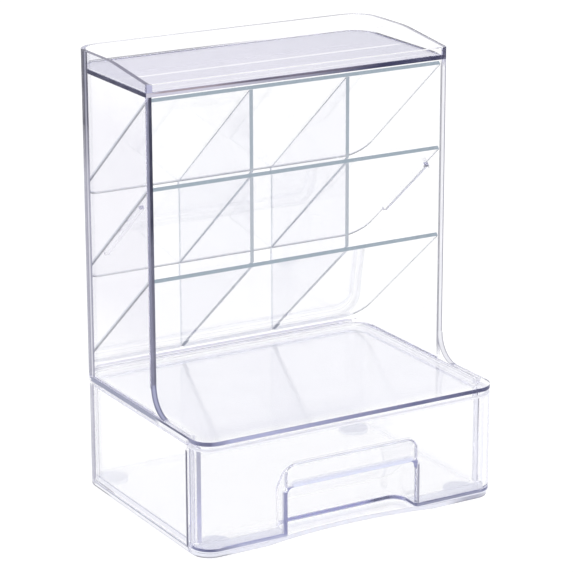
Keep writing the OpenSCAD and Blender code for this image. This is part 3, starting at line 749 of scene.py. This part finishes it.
drawer_edges = [
    # The floor's front edge, and its cut edge behind the finger opening, painted pale below and lavender
    # to navy above: painted light, shade and reflection
    Zone(ALL_ACROSS, DRAWER_NOSE, near(DRAWER_UNDER, -0.2, 0.7), (0.4, 3, 0.1),
         (244, 245, 253), None, 0.8),
    Zone(ALL_ACROSS, DRAWER_NOSE, FLOOR_EDGE, (0.4, 3, 0.1), (146, 150, 190), None, 0.92),
    Zone(near(-SIDE, -1.0, 17.0), DRAWER_NOSE, FLOOR_EDGE, (10, 3, 0.1), (80, 82, 118), None, 0.9),
    Zone((20, SIDE + 5.0), DRAWER_NOSE, FLOOR_EDGE, (80, 3, 0.1), (80, 82, 111), None, 0.92),
    Zone((-SIDE + 11.0, SIDE - 9.0), DRAWER_FACE, FACE_EDGE, (4, 0.4, 0.1),
         (146, 150, 190), None, 0.92),
    Zone((20, SIDE - 9.0), DRAWER_FACE, FACE_EDGE, (60, 0.4, 0.1), (80, 82, 111), None, 0.92),
    Zone((-PULL_HALF + 6.0, PULL_HALF + 1.0), *PULL_FLOOR, (1, 2, 0.1), (148, 150, 196), None, 0.9),
    Zone(near(PULL_HALF, -17.0, -3.0), *PULL_FLOOR, (6, 2, 0.1), (82, 84, 110), None, 0.9),
    # The finger opening, painted: its left leg, its right one, its soft top and its two top corners, in
    # lavender, grey and pale: painted shade and light
    Zone(near(-PULL_HALF, -2.8, 0.6), OPENING, near(DRAWER_FLOOR, -0.6, 21.5), (0.4, 0.6, 1),
         (126, 128, 170), None, 0.9),
    Zone(near(PULL_HALF, 0.6, 1.7), OPENING, near(DRAWER_FLOOR, 0.0, 21.5), (0.2, 0.6, 2),
         (140, 140, 160), None, 0.9),
    Zone(past(-PULL_HALF, PULL_HALF, -2.0), OPENING, near(DRAWER_FLOOR, 21.8, 25.4), (2, 0.6, 2.4),
         (222, 227, 250), None, 0.75),
    Zone(LEFT_CORNER, OPENING, CORNERS_UP, (0.6, 0.6, 0.8), (128, 130, 178), None, 0.85),
    Zone(RIGHT_CORNER, OPENING, CORNERS_UP, (0.6, 0.6, 0.8), (122, 124, 172), None, 0.88),
    # The hood's thin rim, painted pale on top and greyer at its two sides: painted light and shade
    Zone(past(-PULL_HALF, PULL_HALF, -3.0), near(NOSE, 2.6, 3.3), near(DECK, -20.6, -18.4),
         (2, 0.3, 0.3), (247, 248, 253), None, 0.9),
    Zone(near(-PULL_HALF, -1.4, 0.2), HOOD_FRONT, HOOD_SIDE_UP, (0.2, 0.3, 1),
         (190, 191, 204), None, 0.8),
    Zone(near(PULL_HALF, -0.2, 1.4), HOOD_FRONT, HOOD_SIDE_UP, (0.2, 0.3, 1),
         (176, 177, 190), None, 0.8),
    # The top of the wrapped front, painted pale: painted light
    Zone(ALL_ACROSS, (NOSE - 1.0, WALL_FRONT), near(DECK, -5.3, -4.2), (0.4, 2, 0.2),
         (246, 246, 251), None, 0.85),
    # The left side's foot, painted pale under one thin grey line: painted light and shade
    Zone(DRAWER_SIDE, DRAWER_LEFT, (DRAWER_UNDER - 0.2, DRAWER_FLOOR), (0.4, 2, 0.2),
         (249, 249, 252), LEFT, 0.85),
    Zone(DRAWER_SIDE, DRAWER_LEFT, near(DRAWER_FLOOR, -0.1, 0.4), (0.4, 2, 0.1),
         (150, 151, 166), LEFT, 0.8),
    # The webs that tie the wrapped front to the sides, painted lavender on the left and pale with grey
    # lines on the right: painted shade and light
    Zone(LEFT_WEB, WEB_ALONG, (DRAWER_FLOOR, DECK + 18.4), (0.3, 0.5, 44), (150, 151, 174), FRONT, 0.9),
    Zone(LEFT_WEB, WEB_ALONG, near(DRAWER_FLOOR, 0.0, 23.0), (0.3, 0.5, 24),
         (180, 181, 216), FRONT, 0.9),
    Zone(near(SIDE, -7.0, -2.8), WEB_ALONG, WEB_UP, (0.3, 0.5, 0.6), (250, 250, 255), FRONT, 0.85),
    Zone(RIGHT_WEB_LINE, WEB_ALONG, WEB_UP, (0.2, 0.5, 0.6), (196, 196, 208), FRONT, 0.9),
    Zone(near(SIDE, -3.0, -2.4), WEB_ALONG, WEB_UP, (0.2, 0.5, 0.6), (206, 206, 220), FRONT, 0.9),
    Zone(RIGHT_WEB_LINE, WEB_ALONG, near(DECK, -25.6, 8.4), (0.2, 0.5, 18),
         (100, 100, 114), FRONT, 0.9),
]
drawer_clear = clear_plastic("drawer_clear", CASE_DEPTH, BASE_DENSITY, drawer_painted_slant_shades, drawer_edges,
                             skyline=(204, 205, 226), trapped=(236, 237, 247))
finish_node("drawer", drawer_clear)


# The sheets: three slanted shelves and two dividers
# They are sawn from a greyer clear sheet and slide into the rack. Their front edges are frosted and
# carry a painted teal grey, partly the sheet's own tint and partly painted shade, and the lower half
# of the shelves' other edges is painted as one dark line of shade.
SLOPE = math.radians(40.0)
SHELF_NORMAL = (0.0, math.sin(SLOPE), math.cos(SLOPE))
SHELF_UNDER = tuple(-value for value in SHELF_NORMAL)
SHELF_AHEAD = (0.0, -math.cos(SLOPE), math.sin(SLOPE))
SHEET_DEPTH = (0.0, 0.25, 0.4)
SHEET_DENSITY = 1.2
SHEET_SKYLINE = (168, 174, 184)
SHEET_GRAZED = 0.4
SHEET_TRAPPED = (214, 220, 226)
SAWN_SHARE = 0.92
# The reaches that hold all of the slots, the sheets and the dividers
SLOTS_ACROSS = (-31, 31)
SHEETS_ALONG = (RACK_FRONT - 5.5, BACK + 5.0)
SHEETS_UP = (DECK - 1.6, TRAY - 1.6)
DIVIDERS_ACROSS = (-32, 32)
SLOT_UP = (DECK + 62.4, TRAY - 43.6)
# A divider stands upright, so every sawn place on it counts as the dark half, in painted shade
NO_PALE_HALF = 1.0


def corners_of(name):
    """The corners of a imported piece's mesh, one row each."""
    vertices = nodes[name].data.vertices
    flat = np.empty(len(vertices) * 3)
    vertices.foreach_get("co", flat)
    return flat.reshape(-1, 3)


def rear_edge_of(name, before, after):
    """The reach from a little before a piece's rearmost point to a little after it."""
    rear = float(corners_of(name)[:, 1].max()) / MM
    return rear - before, rear + after


for name in ("top_shelf", "middle_shelf", "lower_shelf"):
    corners = corners_of(name)
    upper = float((corners @ np.array(SHELF_NORMAL)).max())
    reach = float((corners @ np.array(SHELF_AHEAD)).max())
    # The slots that the dividers go through, painted grey: painted shade
    slots = [Zone(SLOTS_ACROSS, SHEETS_ALONG, SHEETS_UP, (1, 1, 1), (176, 181, 190), way, 0.9)
             for way in ((1.0, 0.0, 0.0), (-1.0, 0.0, 0.0))]
    if name == "lower_shelf":
        # Its rear edge stands close to the deck and is painted white: a painted reflection of the table
        slots.append(Zone(ALL_ACROSS, rear_edge_of(name, 1.7, 0.3), near(DECK, -6.6, 18.4), (1, 0.2, 1),
                          (254, 255, 255), None, 0.85))
    shelf_clear = clear_plastic(
        name + "_clear", SHEET_DEPTH, SHEET_DENSITY, [], slots,
        skyline=SHEET_SKYLINE, grazed=SHEET_GRAZED, trapped=SHEET_TRAPPED,
        cut=Cut(SHELF_NORMAL, upper, SHELF_AHEAD, reach, front=(160, 174, 185),
                side=(112, 115, 124), share=SAWN_SHARE))
    finish_node(name, shelf_clear)

for name in ("left_divider", "right_divider"):
    reach = -float(corners_of(name)[:, 1].min())
    # The upright rear edge, and the slanted edges of the slot that the middle shelf slides into, painted
    # pale and grey: painted light and shade
    rear_and_slot = [
        Zone(DIVIDERS_ACROSS, rear_edge_of(name, 0.3, 0.3), SHEETS_UP, (1, 0.2, 1),
             (228, 231, 236), None, 0.95)]
    rear_and_slot += [
        Zone(DIVIDERS_ACROSS, SHEETS_ALONG, SLOT_UP, (1, 1, 3), (186, 191, 199), way, 0.9)
        for way in (SHELF_NORMAL, SHELF_UNDER)]
    divider_clear = clear_plastic(
        name + "_clear", SHEET_DEPTH, SHEET_DENSITY, [], rear_and_slot,
        skyline=SHEET_SKYLINE, grazed=SHEET_GRAZED, trapped=SHEET_TRAPPED, body=(250, 250, 252),
        cut=Cut((1.0, 0.0, 0.0), NO_PALE_HALF, FRONT, reach, front=(166, 177, 187),
                side=(136, 141, 152), share=SAWN_SHARE))
    finish_node(name, divider_clear)


# The feet
# Four round pads with a slightly frosted skin. They are cast from soft clear plastic, and stuck
# under the base's four corners.
PAD_DEPTH = (0.3, 0.4, 0.5)
PAD_DENSITY = 3.0
# Painted light: nearly the whole pad takes a pale opaque lavender white, paler than the clear pad shows
# by itself
pad_painted_light = [Zone(past(-SIDE, SIDE, 5.0), past(NOSE, BACK, 5.0), past(0.0, BASE_UNDER, 1.0), (1, 1, 1),
                  (240, 242, 252), None, 0.85)]
pad_clear = clear_plastic("pad_clear", PAD_DEPTH, PAD_DENSITY, [], pad_painted_light, rough=0.22, wear=0.4,
                          skyline=(206, 208, 220), grazed=0.3, trapped=(238, 240, 248),
                          body=(253, 253, 255))
for name in ("front_left_foot", "front_right_foot", "rear_left_foot", "rear_right_foot"):
    finish_node(name, pad_clear)
